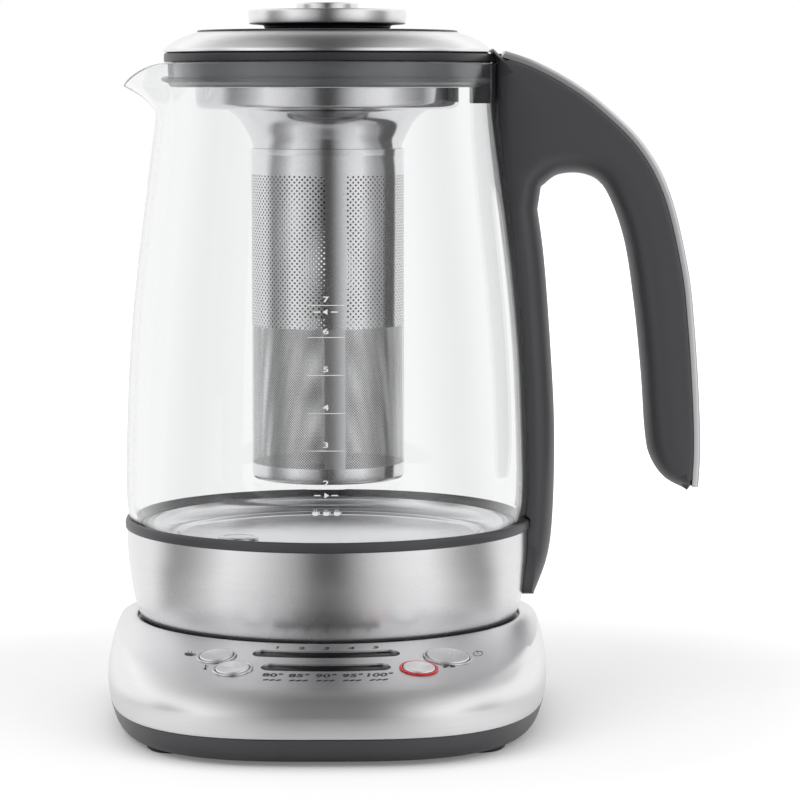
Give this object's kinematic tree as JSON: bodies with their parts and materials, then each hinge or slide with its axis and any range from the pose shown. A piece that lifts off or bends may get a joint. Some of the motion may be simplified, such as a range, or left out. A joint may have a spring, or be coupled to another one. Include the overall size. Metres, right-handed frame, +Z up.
{
  "type": "automatic tea maker",
  "caption": "Glass jug with a heated steel foot, D-shaped handle, brewing basket under a knobbed lid, and a powered base with push buttons and display slots.",
  "frame": {"origin": "centre of the object's footprint box, on the surface that the feet stand on", "axes": "+Z up along the jug's axis; +X from the spout towards the handle; -Y out of the control panel at the front"},
  "size_m": [0.208, 0.1976, 0.2478],
  "materials": {
    "brushed_cover": "satin",
    "polished_steel": "satin",
    "button_metal": "satin",
    "bezel_metal": "gloss",
    "dark_plastic": "satin",
    "black_plastic": "satin",
    "rubber": "matte",
    "clear_silicone": "satin",
    "jug_glass": "gloss",
    "smoked_lens": "gloss",
    "red_ring": "gloss",
    "contact_brass": "satin",
    "screw_steel": "satin",
    "plate_aluminium": "satin",
    "board_green": "satin",
    "lamp_white": "gloss"
  },
  "bodies": {
    "base": {"base_skirt": "dark_plastic", "base_cover": "brushed_cover", "base_deck": "black_plastic", "foot_front_left": "rubber", "foot_front_right": "rubber", "foot_rear_left": "rubber", "foot_rear_right": "rubber", "base_screw_1": "screw_steel", "base_screw_2": "screw_steel", "base_screw_3": "screw_steel", "cord_gland": "rubber", "base_connector": "black_plastic", "contact_rings": "contact_brass", "time_window": "smoked_lens", "temp_window": "smoked_lens", "control_board": "board_green", "time_lights": "lamp_white", "temp_lights": "lamp_white", "brew_time_bezel": "bezel_metal", "temp_bezel": "bezel_metal", "start_timer_bezel": "bezel_metal", "start_stop_ring": "red_ring", "brew_time_switch": "black_plastic", "temp_switch": "black_plastic", "start_timer_switch": "black_plastic", "start_stop_switch": "black_plastic"},
    "brew_time_key": {"brew_time_button": "button_metal"},
    "temp_key": {"temp_button": "button_metal"},
    "start_timer_key": {"start_timer_button": "button_metal"},
    "start_stop_key": {"start_stop_button": "button_metal"},
    "socket": {"jug_socket": "black_plastic", "socket_contacts": "contact_brass"},
    "jug": {"jug_glass": "jug_glass", "glass_seal": "clear_silicone", "band_ring": "dark_plastic", "jug_band": "brushed_cover", "jug_floor": "black_plastic", "heating_plate": "polished_steel", "diffuser_plate": "plate_aluminium", "heating_element": "screw_steel", "temp_sensor": "polished_steel", "handle_body": "dark_plastic", "handle_trim": "brushed_cover", "handle_hook": "dark_plastic"},
    "basket": {"basket_holder": "dark_plastic", "basket_seal": "clear_silicone", "basket_collar": "polished_steel", "basket_tube": "polished_steel"},
    "lid": {"lid_body": "dark_plastic", "lid_ring": "brushed_cover", "lid_disc": "black_plastic", "knob_neck": "black_plastic", "knob_band": "brushed_cover", "knob_disc": "brushed_cover"}
  },
  "joints": [
    {"name": "jug_lift", "type": "slide", "parent": "base", "child": "socket", "axis": [0, 0, 1], "range_m": [0, 0.06]},
    {"name": "jug_swivel", "type": "hinge", "parent": "socket", "child": "jug", "pos_m": [-0.0274, 0.02055, 0.0292], "axis": [0, 0, 1], "continuous": true},
    {"name": "basket_lift", "type": "slide", "parent": "jug", "child": "basket", "axis": [0, 0, 1], "range_m": [0, 0.15]},
    {"name": "lid_lift", "type": "slide", "parent": "basket", "child": "lid", "axis": [0, 0, 1], "range_m": [0, 0.04]},
    {"name": "brew_time_press", "type": "slide", "parent": "base", "child": "brew_time_key", "axis": [0.0788, 0.1662, -0.9829], "range_m": [0, 0.001], "stiffness_N_per_m": 600},
    {"name": "temp_press", "type": "slide", "parent": "base", "child": "temp_key", "axis": [0.0594, 0.1741, -0.9829], "range_m": [0, 0.001], "stiffness_N_per_m": 600},
    {"name": "start_timer_press", "type": "slide", "parent": "base", "child": "start_timer_key", "axis": [-0.0856, 0.1628, -0.9829], "range_m": [0, 0.001], "stiffness_N_per_m": 600},
    {"name": "start_stop_press", "type": "slide", "parent": "base", "child": "start_stop_key", "axis": [-0.0594, 0.1741, -0.9829], "range_m": [0, 0.001], "stiffness_N_per_m": 600}
  ]
}
